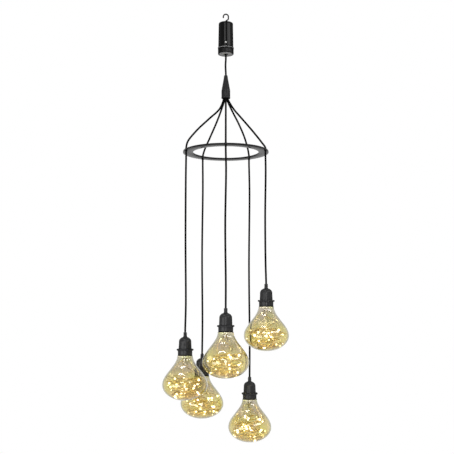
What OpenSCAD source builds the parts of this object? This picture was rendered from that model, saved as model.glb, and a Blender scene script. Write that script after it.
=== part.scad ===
// Battery hanging lamp: five bulb-shaped lamps hang at stepped heights from a flat ring,
// below a cable splitter and a cylindrical battery case with a hook.
// Origin: the inside of the hook's crown. +Z is up, -Y is the front.

/* [Hook] */
// Diameter of the hook's wire
wire_d = 3; // [2.6:0.1:3.4]
// Inside width of the hook
hook_w = 10; // [9:0.5:13]
// Height from the inside of the hook's crown to the top of the case
hook_drop = 22; // [20:0.5:28]
// Diameter of the shoulder on the hook's shank
shoulder_d = 4.6; // [4:0.1:5.6]

/* [Battery case] */
// Outer diameter of the case at its top
case_top_d = 36.8; // [36.4:0.1:38]
// Outer diameter of the case at the band
case_base_d = 38.8; // [38:0.1:40]
// How much taller the case is than a cell
case_extra_h = 15; // [14:0.5:30]
// Bore of the case
case_bore_d = 32.6; // [32.2:0.1:33]
// Thickness of the case's top
case_top_wall = 3; // [2:0.2:4]
// Diameter of the band round the foot of the case
band_d = 41.2; // [40.6:0.1:43]
// Height of the band
band_h = 3; // [2:0.2:5]
// Diameter of the threaded neck below the band
neck_d = 36.4; // [36:0.1:36.8]
// Height of the threaded neck
neck_h = 8.5; // [7:0.5:10]
// Thickness of the sealing ring
seal_t = 1.6; // [1.3:0.1:1.8]

/* [Button] */
// Diameter of the button
button_d = 5; // [4:0.2:6]
// Travel of the button
button_travel = 0.8; // [0.4:0.1:0.9]
// Height of the button's centre above the band
button_rise = 9; // [7:0.5:14]
// Diameter of the recess round the button
recess_d = 9; // [8.4:0.2:11]

/* [Base cap] */
// Outer diameter of the base cap
cap_d = 40.2; // [39.8:0.1:41]
// Height of the base cap
cap_h = 14.5; // [13:0.5:18]
// Thickness of the base cap's floor
cap_floor = 2.2; // [1.6:0.2:3]
// Number of grip flutes round the base cap
flute_count = 36; // [18:2:40]
// Depth of the grip flutes
flute_depth = 0.45; // [0.2:0.05:0.7]

/* [Battery cartridge] */
// Diameter of a cell
cell_d = 14.2; // [13.8:0.1:14.3]
// Length of a cell over its pip
cell_len = 50.5; // [49.5:0.1:50.9]
// Gap between neighbouring cells
cell_gap = 0.7; // [0.5:0.1:0.8]
// Thickness of the cartridge's end plates
plate_t = 1.8; // [1.4:0.1:2.4]
// Compressed height of a cell spring
cell_spring_h = 4; // [3:0.2:5]
// Thickness of the timer board
board_t = 1; // [0.8:0.1:1.2]

/* [Cables] */
// Diameter of every cable
cable_d = 4.4; // [3.6:0.1:4.6]
// Free length of the main cable
main_cable_len = 53; // [40:1:90]

/* [Splitter] */
// Height of the splitter
splitter_h = 60; // [50:1:75]
// Diameter of the splitter at its foot
splitter_d = 22.6; // [21:0.2:26]
// Diameter of the splitter's collar
collar_d = 9.4; // [8.6:0.1:10.4]
// Wall of the splitter
splitter_wall = 1.8; // [1.2:0.1:2.2]
// Radius of the circle of cable holes in the splitter's plug
plug_circle_r = 5.8; // [5.2:0.1:6.2]

/* [Ring] */
// Outer diameter of the ring
ring_od = 217; // [200:1:240]
// Inner diameter of the ring
ring_id = 167; // [150:1:180]
// Thickness of the ring
ring_t = 3.8; // [3:0.1:6]
// Drop from the splitter to the ring
leg_drop = 137.6; // [110:0.2:180]
// Distance from the ring's outer edge to a cable hole's centre
hole_inset = 4.5; // [4.4:0.1:8]
// Thickness of a grommet's flange
grommet_flange_t = 1.2; // [0.8:0.1:2]

/* [Lamp holders] */
// Cable from the ring to the highest lamp
first_drop = 332; // [250:1:400]
// How much lower each lamp hangs than the one before it
drop_step = 59; // [50:1:70]
// Diameter of the boot on the cable
boot_d = 9.2; // [8:0.2:11]
// Height of the boot above the holder's dome
boot_h = 10.5; // [8:0.5:14]
// Height of the holder's dome
dome_h = 11.5; // [9:0.5:14]
// Diameter of the holder's body at its shoulder
holder_d = 30; // [29:0.2:33]
// Diameter of the holder's body at its foot
holder_foot_d = 31.5; // [31:0.1:34]
// Height of the holder down to its flange
holder_h = 39.5; // [38:0.5:48]
// Wall of the holder
holder_wall = 1.9; // [1.4:0.1:2.2]
// Diameter of the holder's flange
flange_d = 41; // [39:0.2:44]
// Thickness of the holder's flange
flange_t = 4.2; // [3:0.1:5]
// Diameter of the skirt below the flange
skirt_d = 35; // [34:0.2:36]
// Height of the skirt
skirt_h = 12; // [10:0.5:18]
// Depth of the spigot inside the globe's neck
spigot_h = 3; // [2.4:0.2:5]

/* [Globes] */
// Outer diameter of the globe's neck
globe_neck_d = 37.6; // [37.2:0.2:39]
// Widest diameter of the globe
globe_d = 110; // [100:1:114]
// Height of the globe below the skirt
globe_h = 107.5; // [100:0.5:120]
// Depth of the widest place below the skirt
globe_belly = 70; // [64:0.5:76]
// Wall of the globe
globe_wall = 1.2; // [1:0.1:1.5]
// Thickness of the light wire
light_wire_d = 1; // [0.8:0.1:1.4]
// Turns of the light wire
light_wire_turns = 6; // [3:1:6]

/* [Hidden] */
LAMPS = 5;
// Azimuth of each lamp, from the front towards the right
LAMP_AZIMUTHS = [72, 0, -72, -144, 144];
$fn = 64;

// Clearances: running between pieces that turn or slide, loose between pieces that are lifted
// out, and the slit that lets a cable swing
run = 0.05;
loose = 0.15;
swing_gap = 0.6;

// Hook
shank_r = wire_d / 2;
loop_r = (hook_w + wire_d) / 2;
loop_z = -hook_w / 2;
tip_len = 3.3;
hook_turn = 60;
lower_bend_r = 3.5;
neck_bend_r = 3;
shoulder_h = 3.8;
slope_run = loop_r - (lower_bend_r + neck_bend_r) * (1 - cos(hook_turn));
neck_z = -hook_drop + shoulder_h + 0.2;
lower_bend_z = neck_z + (lower_bend_r + neck_bend_r) * sin(hook_turn) + slope_run / tan(hook_turn);
washer_t = 0.6;
washer_r = 3.8;
nut_af = 5.5;
nut_h = 2.4;
shank_end = 0.4;

// Case
case_top = -hook_drop;
case_h = cell_len + case_extra_h;
band_top = case_top - case_h;
band_foot = band_top - band_h;
case_foot = band_foot - neck_h;
top_edge_h = 2.6;
top_edge_w = 5.4;
groove_depth = seal_t - 0.7;
groove_h = seal_t + 0.2;
groove_top = band_foot - 0.8;
seal_r = neck_d / 2 - groove_depth + seal_t / 2;

// Button
button_z = band_top + button_rise;
button_hole_r = button_d / 2 + 0.1;
button_flange_r = button_d / 2 + 1;
button_flange_t = 0.8;
button_face_y = -(case_base_d / 2 - 0.5);
recess_floor_y = -(case_base_d / 2 - 1.6);
button_flange_y = -(case_bore_d / 2 - 0.7);

// Base cap
cap_top = band_foot - 0.1;
cap_foot = band_foot - cap_h;
seal_land_r = seal_r + seal_t / 2 + run;
seal_land_h = groove_top - cap_top + groove_h + 1;
thread_r = neck_d / 2 + 0.1;
cap_floor_top = cap_foot + cap_floor;
board_ledge_w = 1.4;
board_ledge_h = 1.3;
flute_r = 0.9;
flute_margin = 1;
foot_recess = 0.6;
foot_rim_w = 2;
base_board_t = 1.6;
base_board_z = cap_floor_top + board_ledge_h;
base_board_r = thread_r - loose;
gland_r = 2.9;
gland_flange_r = 4.4;
gland_flange_t = 1.1;
gland_tail = 3;
gland_foot = cap_foot - gland_tail;

// Cartridge: the cells stand round the axis, with one valley between them at the front
cell_r = cell_d / 2;
cell_circle_r = (cell_d + cell_gap) / (2 * sin(60));
CELL_AZIMUTHS = [60, 180, -60];
CELL_PIP_UP = [true, false, true];
pip_r = 2.7;
pip_h = 1.3;
contact_t = 0.4;
contact_r = 4;
cage_r = case_bore_d / 2 - 0.4;
cage_lift = 0.9;
cage_foot = band_foot + cage_lift;
cage_floor = cage_foot + plate_t;
cell_room = cell_len + contact_t + cell_spring_h + 2 * run;
cage_ceiling = cage_floor + cell_room;
rail_w = 7;
spine_r = 1.1;
button_notch_w = 2 * (button_flange_r + 0.8);
button_notch_y = -(case_bore_d / 2 - 3.4);
board_w = 6.4;
board_front_y = -(cell_circle_r * cos(60) + sqrt(pow(cell_r, 2)
                  - pow(cell_circle_r * sin(60) - board_w / 2, 2)) + 0.5 + board_t);
board_top = button_z + 10;
switch_w = 5;
switch_t = 1.5;
plunger_r = 1.2;
plunger_y = button_flange_y + button_flange_t + button_travel + 0.3;

// Splitter and main cable
cable_r = cable_d / 2;
cable_hole_r = cable_r + 0.1;
sway_z = gland_foot - swing_gap / 2;
main_cable_top = gland_foot - swing_gap;
splitter_top = gland_foot - main_cable_len;
splitter_foot = splitter_top - splitter_h;
plug_t = 5;
plug_recess = 0.6;
plug_r = splitter_d / 2 - splitter_wall - run;
cable_grip = 7;

// Ring and grommets
ring_top = splitter_foot - leg_drop;
ring_foot = ring_top - ring_t;
hole_circle_r = ring_od / 2 - hole_inset;
grommet_r = cable_r + 0.7;
grommet_flange_r = cable_r + 1.5;
grommet_foot = ring_foot - grommet_flange_t;

// Lamps: depths are measured down from the top of the boot
shoulder_depth = boot_h + dome_h;
flange_depth = holder_h;
skirt_depth = flange_depth + flange_t;
globe_depth = skirt_depth + skirt_h;
spigot_depth = globe_depth + spigot_h;
inner_spigot_h = 10;
holder_bore_r = holder_d / 2 - holder_wall;
skirt_bore_r = holder_bore_r - 2;
wire_plug_t = 5;
neck_bore_r = globe_neck_d / 2 - globe_wall;
function boot_top(i) = ring_foot - first_drop - (i - 1) * drop_step;

// Routes of the legs, splitter to ring: share of the drop, then share of the way out
LEG_ROUTES = [
    [[0.20, 0.15], [0.40, 0.37], [0.65, 0.65], [0.88, 0.89]],
    [[0.20, 0.15], [0.40, 0.38], [0.65, 0.68], [0.88, 0.93]],
    [[0.20, 0.11], [0.40, 0.38], [0.65, 0.72], [0.88, 0.96]],
    [[0.20, 0.16], [0.40, 0.36], [0.65, 0.65], [0.88, 0.92]],
    [[0.20, 0.24], [0.40, 0.52], [0.65, 0.80], [0.88, 0.96]]
];
// Routes of the drops, ring to lamp: share of the way down, then how far it wanders sideways
DROP_ROUTES = [
    [[0.15, 0.4], [0.50, -1.5], [0.85, -1.0]],
    [[0.15, 0.8], [0.50, -1.2], [0.85, 0.2]],
    [[0.15, -0.5], [0.50, -0.4], [0.85, 1.2]],
    [[0.15, 0.5], [0.50, -1.0], [0.85, 0.6]],
    [[0.15, 1.2], [0.50, -0.8], [0.85, 0.5]]
];

function unit(v) = v / norm(v);
function radial(azimuth, r, z) = [r * sin(azimuth), -r * cos(azimuth), z];
function azimuth(i) = LAMP_AZIMUTHS[i - 1];

// Headings of a route at its points, and side vectors that turn as little as they can along it
function headings(route) = [for (i = [0:len(route) - 1])
    unit(route[min(i + 1, len(route) - 1)] - route[max(i - 1, 0)])];
function square_to(v, heading) = unit(v - (v * heading) * heading);
function side_vectors(heading, first) = [
    for (i = 0, v = square_to(first, heading[0]); i < len(heading);
         i = i + 1, v = i < len(heading) ? square_to(v, heading[i]) : v) v];

// One closed tube of triangles along a route
module swept_tube(route, radius, sides, first = [1, 0, 0]) {
    heading = headings(route);
    side = side_vectors(heading, first);
    last = len(route) - 1;
    points = [for (i = [0:last], s = [0:sides - 1]) let (a = 360 * s / sides)
        route[i] + radius * (cos(a) * side[i] + sin(a) * cross(heading[i], side[i]))];
    walls = [for (i = [0:last - 1], s = [0:sides - 1])
        let (a = i * sides + s, b = i * sides + (s + 1) % sides, c = b + sides, d = a + sides)
            each [[a, d, c], [a, c, b]]];
    start_cap = [for (s = [1:sides - 2]) [0, s, s + 1]];
    end_cap = [for (s = [1:sides - 2]) [0, s + 1, s] + last * sides * [1, 1, 1]];
    polyhedron(points, concat(walls, start_cap, end_cap), convexity = 10);
}

// A ring of rectangular section between two heights
module band(inner_r, outer_r, low, high) {
    rotate_extrude() translate([inner_r, low]) square([outer_r - inner_r, high - low]);
}

// The hook: one round wire bent in the XZ plane, from its open tip to the end of its shank
function wire_bend(x, z, r, from, to, steps) = [for (k = [0:steps])
    let (a = from + (to - from) * k / steps) [x + r * cos(a), 0, z + r * sin(a)]];

module hanging_hook() {
    route = concat(
        [[-loop_r, 0, loop_z - tip_len]],
        wire_bend(0, loop_z, loop_r, 180, 0, 16),
        wire_bend(loop_r - lower_bend_r, lower_bend_z, lower_bend_r, 0, -hook_turn, 6),
        wire_bend(neck_bend_r, neck_z, neck_bend_r, 180 - hook_turn, 180, 6),
        [[0, 0, nut_foot() - shank_end]]
    );
    color([0.05, 0.05, 0.05]) {
        swept_tube(route, wire_d / 2, 12, [0, 1, 0]);
        translate([0, 0, case_top + 0.2]) cylinder(d = shoulder_d, h = shoulder_h);
    }
}

function washer_top() = case_top - case_top_wall - run;
function nut_foot() = washer_top() - washer_t - run - nut_h;

module hook_washer() {
    color([0.75, 0.75, 0.76]) band(shank_r + run, washer_r, washer_top() - washer_t, washer_top());
}

module hook_nut() {
    color([0.70, 0.70, 0.72]) translate([0, 0, nut_foot()]) difference() {
        cylinder(d = nut_af / cos(30), h = nut_h, $fn = 6);
        translate([0, 0, -1]) cylinder(r = shank_r + run, h = nut_h + 2);
    }
}

// The case: one revolved moulding, with the button's hole through its front
module case_tube() {
    bore_r = case_bore_d / 2;
    shank_hole_r = shank_r + 0.08;
    neck_r = neck_d / 2;
    color([0.08, 0.08, 0.085]) difference() {
        rotate_extrude() polygon([
            [shank_hole_r, case_top],
            [case_top_d / 2 - top_edge_w, case_top],
            [case_top_d / 2 - 0.3 * top_edge_w, case_top - 0.35 * top_edge_h],
            [case_top_d / 2, case_top - top_edge_h],
            [case_base_d / 2, band_top],
            [band_d / 2 - 0.4, band_top],
            [band_d / 2, band_top - 0.4],
            [band_d / 2, band_foot + 0.4],
            [band_d / 2 - 0.4, band_foot],
            [neck_r, band_foot],
            [neck_r, groove_top],
            [neck_r - groove_depth, groove_top],
            [neck_r - groove_depth, groove_top - groove_h],
            [neck_r, groove_top - groove_h],
            [neck_r, case_foot + 0.5],
            [neck_r - 0.5, case_foot],
            [bore_r, case_foot],
            [bore_r, case_top - case_top_wall],
            [shank_hole_r, case_top - case_top_wall]
        ]);
        translate([0, 0, button_z]) rotate([90, 0, 0]) {
            cylinder(r = button_hole_r, h = case_base_d);
            translate([0, 0, -recess_floor_y]) cylinder(d = recess_d, h = 5);
        }
    }
}

module case_seal() {
    color([0.2, 0.2, 0.2]) rotate_extrude()
        translate([seal_r, groove_top - groove_h / 2]) circle(d = seal_t);
}

// The button: a round cap whose flange keeps it behind the wall
module push_button() {
    color([0.85, 0.85, 0.84]) translate([0, 0, button_z]) rotate([90, 0, 0]) rotate_extrude() polygon([
        [0, -button_flange_y - button_flange_t],
        [button_flange_r, -button_flange_y - button_flange_t],
        [button_flange_r, -button_flange_y],
        [button_d / 2, -button_flange_y],
        [button_d / 2, -button_face_y - 0.4],
        [button_d / 2 - 0.4, -button_face_y],
        [0, -button_face_y]
    ]);
}

// The cartridge: two plates, two rails and a spine, cut to fit round the cells
module cell_cage() {
    cell_clear_r = cell_r + 0.2;
    color([0.10, 0.10, 0.10]) difference() {
        union() {
            translate([0, 0, cage_ceiling]) cylinder(r = cage_r, h = plate_t);
            translate([0, 0, cage_foot]) cylinder(r = cage_r, h = plate_t);
            translate([0, 0, cage_floor]) cylinder(r = spine_r, h = cell_room);
            for (a = [120, -120]) rotate([0, 0, a])
                translate([-rail_w / 2, -cage_r + 0.4, cage_floor])
                    cube([rail_w, cage_r - cell_circle_r, cell_room]);
        }
        for (a = CELL_AZIMUTHS)
            translate(radial(a, cell_circle_r, cage_floor)) cylinder(r = cell_clear_r, h = cell_room);
        translate([-button_notch_w / 2, -cage_r - 1, cage_ceiling - 1])
            cube([button_notch_w, cage_r + 1 + button_notch_y, plate_t + 2]);
        translate([-board_w / 2 - loose, board_front_y - loose, cage_foot - 1])
            cube([board_w + 2 * loose, board_t + 2 * loose, plate_t + 2]);
    }
}

// One cell, its pip up or down, in the room between the plates
module cell(pip_up) {
    flip = pip_up ? 0 : 1;
    base_z = pip_up ? cage_ceiling - contact_t - run - cell_len : cage_floor + contact_t + run + cell_len;
    translate([0, 0, base_z]) mirror([0, 0, flip]) rotate_extrude() polygon([
        [0, 0], [cell_r - 0.6, 0], [cell_r, 0.6], [cell_r, cell_len - pip_h - 0.6],
        [cell_r - 0.6, cell_len - pip_h], [pip_r, cell_len - pip_h],
        [pip_r, cell_len - 0.3], [pip_r - 0.3, cell_len], [0, cell_len]
    ]);
}

module battery_cells() {
    color([0.55, 0.56, 0.55]) for (k = [0:2])
        translate(radial(CELL_AZIMUTHS[k], cell_circle_r, 0)) cell(CELL_PIP_UP[k]);
}

module contact_plates() {
    color([0.8, 0.78, 0.7]) for (k = [0:2])
        translate(radial(CELL_AZIMUTHS[k], cell_circle_r,
                         CELL_PIP_UP[k] ? cage_ceiling - contact_t : cage_floor))
            cylinder(r = contact_r, h = contact_t);
}

// A conical spring: from its wide end at z = 0 to its narrow end, ends square to what they meet
function spring_route(height, wide_r, narrow_r, turns, per_turn, wire) = [
    for (k = [0:turns * per_turn]) let (share = k / (turns * per_turn), a = 360 * k / per_turn)
        [cos(a) * (wide_r + (narrow_r - wide_r) * share),
         sin(a) * (wide_r + (narrow_r - wide_r) * share),
         wire / 2 + (height - wire) * share]];

module contact_springs() {
    spring_wire = 0.5;
    color([0.75, 0.75, 0.76]) for (k = [0:2]) {
        flip = CELL_PIP_UP[k] ? 0 : 1;
        translate(radial(CELL_AZIMUTHS[k], cell_circle_r,
                         CELL_PIP_UP[k] ? cage_floor + run / 2 : cage_ceiling - run / 2))
            mirror([0, 0, flip]) swept_tube(
                spring_route(cell_spring_h, 4.6, 2.2, 3, 12, spring_wire), spring_wire / 2, 6);
    }
}

module timer_board() {
    color([0.10, 0.30, 0.16]) translate([-board_w / 2, board_front_y, cage_foot])
        cube([board_w, board_t, board_top - cage_foot]);
}

module tact_switch() {
    color([0.65, 0.65, 0.66]) {
        translate([-switch_w / 2, board_front_y - run - switch_t, button_z - switch_w / 2])
            cube([switch_w, switch_t, switch_w]);
        translate([0, board_front_y - run - switch_t, button_z]) rotate([90, 0, 0])
            cylinder(r = plunger_r, h = board_front_y - run - switch_t - plunger_y);
    }
}

// The base cap: a fluted cup that screws on to the case's neck
module base_cap() {
    outer_r = cap_d / 2;
    color([0.09, 0.09, 0.095]) difference() {
        rotate_extrude() polygon([
            [seal_land_r, cap_top],
            [outer_r - 0.4, cap_top],
            [outer_r, cap_top - 0.4],
            [outer_r, cap_foot + 1],
            [outer_r - 0.3, cap_foot + 0.3],
            [outer_r - 1, cap_foot],
            [outer_r - foot_rim_w, cap_foot],
            [outer_r - foot_rim_w - foot_recess, cap_foot + foot_recess],
            [gland_r + run, cap_foot + foot_recess],
            [gland_r + run, cap_floor_top],
            [thread_r - board_ledge_w, cap_floor_top],
            [thread_r - board_ledge_w, base_board_z],
            [thread_r, base_board_z],
            [thread_r, cap_top - seal_land_h - 0.6],
            [seal_land_r, cap_top - seal_land_h]
        ]);
        for (k = [0:flute_count - 1]) rotate([0, 0, 360 * (k + 0.5) / flute_count])
            translate([outer_r + flute_r - flute_depth, 0, cap_foot + flute_margin])
                cylinder(r = flute_r, h = cap_top - seal_land_h - cap_foot - 2 * flute_margin);
    }
}

module base_board() {
    track_w = 2.4;
    color([0.10, 0.30, 0.16]) band(0.8, base_board_r, base_board_z + run, base_board_z + base_board_t);
    color([0.8, 0.7, 0.4]) band(base_board_r - 2 * track_w, base_board_r - track_w,
                                base_board_z + base_board_t, base_board_z + base_board_t + 0.1);
}

module base_spring() {
    spring_wire = 0.7;
    seat_z = base_board_z + base_board_t + run;
    color([0.75, 0.75, 0.76]) translate([0, 0, seat_z]) swept_tube(
        spring_route(cage_foot - 0.3 - seat_z, 5, 2.5, 5, 12, spring_wire), spring_wire / 2, 6);
}

// The strain relief moulded on to the cable where it leaves the base cap
module cable_gland() {
    color([0.06, 0.06, 0.06]) rotate_extrude() polygon([
        [0, gland_foot],
        [cable_r + 0.3, gland_foot],
        [gland_r + 0.5, cap_foot - 0.2],
        [gland_r + 0.5, cap_foot + foot_recess - run],
        [gland_r, cap_foot + foot_recess - run],
        [gland_r, cap_floor_top + run],
        [gland_flange_r, cap_floor_top + run],
        [gland_flange_r, cap_floor_top + gland_flange_t],
        [0, cap_floor_top + gland_flange_t]
    ]);
}

module main_cable() {
    top = main_cable_top;
    foot = splitter_top - cable_grip;
    color([0.05, 0.05, 0.05]) swept_tube([
        [0, 0, top], [0, 0, top - 8], [-0.8, 0, (top + splitter_top) / 2],
        [0, 0, splitter_top + 5], [0, 0, foot]
    ], cable_r, 8);
}

// The splitter: a hollow cone that the main cable enters and five cables leave
module splitter_shell() {
    foot_r = splitter_d / 2;
    collar_r = collar_d / 2;
    cone_foot = splitter_foot + 0.35 * splitter_h;
    cone_top = splitter_top - 0.17 * splitter_h;
    lip_h = 4;
    color([0.20, 0.20, 0.20]) rotate_extrude() polygon([
        [cable_hole_r, splitter_top],
        [collar_r - 0.5, splitter_top],
        [collar_r, splitter_top - 0.5],
        [collar_r + 0.2, splitter_top - 0.06 * splitter_h],
        [collar_r + 1.1, cone_top],
        [foot_r - 0.6, cone_foot + 1.5],
        [foot_r - 0.2, cone_foot - 1],
        [foot_r - 0.2, splitter_foot + lip_h + 0.3],
        [foot_r, splitter_foot + lip_h],
        [foot_r, splitter_foot + 0.5],
        [foot_r - 0.5, splitter_foot],
        [foot_r - splitter_wall, splitter_foot],
        [foot_r - splitter_wall, cone_foot],
        [collar_r + 1.1 - splitter_wall, cone_top],
        [cable_hole_r, cone_top]
    ]);
}

module splitter_plug() {
    top = splitter_foot + plug_recess + plug_t;
    color([0.13, 0.13, 0.13]) difference() {
        translate([0, 0, top - plug_t]) cylinder(r = plug_r, h = plug_t);
        for (i = [1:LAMPS]) translate(radial(azimuth(i), plug_circle_r, top - plug_t - 1))
            cylinder(r = cable_hole_r, h = plug_t + 2);
    }
}

module spreader_ring() {
    edge = 0.4;
    color([0.12, 0.12, 0.12]) difference() {
        rotate_extrude() polygon([
            [ring_id / 2 + edge, ring_foot], [ring_od / 2 - edge, ring_foot],
            [ring_od / 2, ring_foot + edge], [ring_od / 2, ring_top - edge],
            [ring_od / 2 - edge, ring_top], [ring_id / 2 + edge, ring_top],
            [ring_id / 2, ring_top - edge], [ring_id / 2, ring_foot + edge]
        ]);
        for (i = [1:LAMPS]) translate(radial(azimuth(i), hole_circle_r, ring_foot - 1))
            cylinder(r = grommet_r + run, h = ring_t + 2);
    }
}

module ring_grommets() {
    color([0.04, 0.04, 0.04]) for (i = [1:LAMPS])
        translate(radial(azimuth(i), hole_circle_r, 0)) rotate_extrude() polygon([
            [cable_hole_r, grommet_foot],
            [grommet_flange_r - 0.5, grommet_foot],
            [grommet_flange_r, ring_foot - run],
            [grommet_r, ring_foot - run],
            [grommet_r, ring_top + run],
            [grommet_flange_r, ring_top + run],
            [grommet_flange_r - 0.5, ring_top + grommet_flange_t],
            [cable_hole_r, ring_top + grommet_flange_t]
        ]);
}

// A cable from the splitter's plug out and down to its hole in the ring
module leg_cable(i) {
    a = azimuth(i);
    way_out = hole_circle_r - plug_circle_r;
    start = splitter_foot - 2;
    end = ring_top + grommet_flange_t + 2;
    color([0.05, 0.05, 0.05]) swept_tube(concat(
        [radial(a, plug_circle_r, splitter_foot + plug_recess + plug_t),
         radial(a, plug_circle_r, start)],
        [for (p = LEG_ROUTES[i - 1])
            radial(a, plug_circle_r + p[1] * way_out, start + p[0] * (end - start))],
        [radial(a, hole_circle_r, end), radial(a, hole_circle_r, grommet_foot)]
    ), cable_r, 8);
}

// The same cable from the ring down into its lamp's boot
module drop_cable(i) {
    top = grommet_foot - swing_gap;
    foot = boot_top(i);
    at = radial(azimuth(i), hole_circle_r, 0);
    color([0.05, 0.05, 0.05]) swept_tube(concat(
        [at + [0, 0, top], at + [0, 0, top - 10]],
        [for (p = DROP_ROUTES[i - 1]) at + [p[1], 0, top + p[0] * (foot - top)]],
        [at + [0, 0, foot + 8], at + [0, 0, foot - cable_grip]]
    ), cable_r, 8);
}

// Everything of a lamp is drawn downwards from its boot and then set in its place
module at_lamp(i) {
    translate(radial(azimuth(i), hole_circle_r, boot_top(i))) rotate([0, 0, azimuth(i)]) children();
}

// The holder's cap: the boot, a dome and a body that widens a little to its foot
function dome_angle(r) = acos(r / (holder_d / 2));
function dome_z(r) = -shoulder_depth + dome_h * sin(dome_angle(r));

module holder_cap() {
    boot_r = boot_d / 2;
    fillet = 1.2;
    dome_from = dome_angle(boot_r + fillet);
    dome_steps = 7;
    inner_h = dome_h - holder_wall;
    inner_from = acos((cable_hole_r + 1) / holder_bore_r);
    inner_steps = 4;
    color([0.10, 0.10, 0.10]) rotate_extrude() polygon(concat(
        [[cable_hole_r, 0], [boot_r - 0.5, 0], [boot_r, -0.5],
         [boot_r, dome_z(boot_r + fillet) + fillet], [boot_r + 0.3 * fillet, dome_z(boot_r + fillet) + 0.3 * fillet]],
        [for (k = [0:dome_steps]) let (a = dome_from * (1 - k / dome_steps))
            [holder_d / 2 * cos(a), -shoulder_depth + dome_h * sin(a)]],
        [[holder_foot_d / 2, -flange_depth + 0.4], [holder_foot_d / 2 - 0.4, -flange_depth],
         [holder_bore_r, -flange_depth]],
        [for (k = [0:inner_steps]) let (a = inner_from * k / inner_steps)
            [holder_bore_r * cos(a), -shoulder_depth + inner_h * sin(a)]],
        [[cable_hole_r, -shoulder_depth + inner_h * sin(inner_from)]]
    ));
}

// The skirt: a spigot in the cap, a flange with a rounded rim, and a spigot in the globe's neck
module holder_skirt() {
    skirt_r = skirt_d / 2;
    rim = 1.3;
    color([0.11, 0.11, 0.11]) rotate_extrude() polygon([
        [skirt_bore_r, -flange_depth + inner_spigot_h],
        [holder_bore_r - run, -flange_depth + inner_spigot_h],
        [holder_bore_r - run, -flange_depth - run],
        [flange_d / 2 - rim, -flange_depth - run],
        [flange_d / 2 - 0.3 * rim, -flange_depth - 0.3 * rim],
        [flange_d / 2, -flange_depth - rim],
        [flange_d / 2, -skirt_depth + rim],
        [flange_d / 2 - 0.3 * rim, -skirt_depth + 0.3 * rim],
        [flange_d / 2 - rim, -skirt_depth],
        [skirt_r, -skirt_depth],
        [skirt_r, -globe_depth],
        [neck_bore_r - run, -globe_depth],
        [neck_bore_r - run, -spigot_depth],
        [skirt_bore_r, -spigot_depth]
    ]);
}

module wire_plug() {
    color([0.80, 0.76, 0.62]) rotate_extrude() polygon([
        [light_wire_d / 2 + run, -spigot_depth],
        [skirt_bore_r - run, -spigot_depth],
        [skirt_bore_r - run, -spigot_depth + wire_plug_t],
        [light_wire_d / 2 + run, -spigot_depth + wire_plug_t]
    ]);
}

// A globe's outline from its rim down to its pole: a flared neck, then the foot of an ellipse.
// The neck's curve starts straight down for neck_pull and meets the belly over belly_pull.
neck_pull = 25;
belly_pull = 26;
function bezier(p, t) = pow(1 - t, 3) * p[0] + 3 * pow(1 - t, 2) * t * p[1]
    + 3 * (1 - t) * pow(t, 2) * p[2] + pow(t, 3) * p[3];
function globe_outline(neck_r, belly_r, belly, depth) = concat(
    [for (k = [0:12]) bezier([[neck_r, 0], [neck_r + 0.4, -neck_pull],
                              [belly_r, belly_pull - belly], [belly_r, -belly]], k / 12)],
    [for (a = [9:9:81]) [belly_r * cos(a), -belly - (depth - belly) * sin(a)]],
    [[0, -depth]]);

module globe() {
    outer = globe_outline(globe_neck_d / 2, globe_d / 2, globe_belly, globe_h);
    inner = globe_outline(neck_bore_r, globe_d / 2 - globe_wall, globe_belly, globe_h - globe_wall);
    last = len(inner) - 1;
    color([0.85, 0.76, 0.52, 0.45]) translate([0, 0, -globe_depth]) rotate_extrude()
        polygon(concat(outer, [for (k = [0:last]) inner[last - k]]));
}

// The light wire: one wound strand that widens from the neck into tilted turns in the belly
light_rings_per_turn = 24;
light_start = spigot_h + 0.1;
light_clear = 17;
light_depth = globe_h - light_clear;
light_reach = globe_d / 2 - 15;
light_neck_r = 2.5;
light_tilt = 0.07;
function light_spread(u) = light_neck_r + (light_reach - light_neck_r)
    * (u < 0.55 ? pow(sin(90 * u / 0.55), 1.35) : 1 - 0.28 * pow((u - 0.55) / 0.45, 2));
function light_point(u, a) = let (r = light_spread(u)) [
    r * cos(a), r * sin(a),
    -light_start - 3 * light_wire_d - (light_depth - light_start - 3 * light_wire_d) * u
        + light_tilt * r * cos(a + 40)];
function light_route() = let (
    count = light_wire_turns * light_rings_per_turn,
    turns = [for (k = [0:count]) light_point(k / count, 360 * k / light_rings_per_turn)],
    tail = unit(turns[count] - turns[count - 1]) * 2 * light_wire_d
) concat([[0, 0, -light_start], [0, 0, -light_start - light_wire_d]], turns, [turns[count] + tail]);
function least_gap(route, thickness, apart) = min([
    for (i = [0:len(route) - 1 - apart], j = [i + apart:len(route) - 1]) norm(route[i] - route[j])
]) - thickness;

module light_wire() {
    route = light_route();
    echo(light_wire_least_gap_mm = least_gap(route, light_wire_d, 6));
    color([0.62, 0.42, 0.16]) translate([0, 0, -globe_depth])
        swept_tube(route, light_wire_d / 2, 6);
}

hanging_hook();
hook_washer();
hook_nut();
case_tube();
case_seal();
push_button();
cell_cage();
battery_cells();
contact_plates();
contact_springs();
timer_board();
tact_switch();
base_cap();
base_board();
base_spring();
cable_gland();
main_cable();
splitter_shell();
splitter_plug();
spreader_ring();
ring_grommets();
for (i = [1:LAMPS]) {
    leg_cable(i);
    drop_cable(i);
    at_lamp(i) holder_cap();
    at_lamp(i) holder_skirt();
    at_lamp(i) wire_plug();
    at_lamp(i) globe();
    at_lamp(i) light_wire();
}
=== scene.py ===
import math

import bmesh
import bpy
from mathutils import Matrix, Vector


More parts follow.
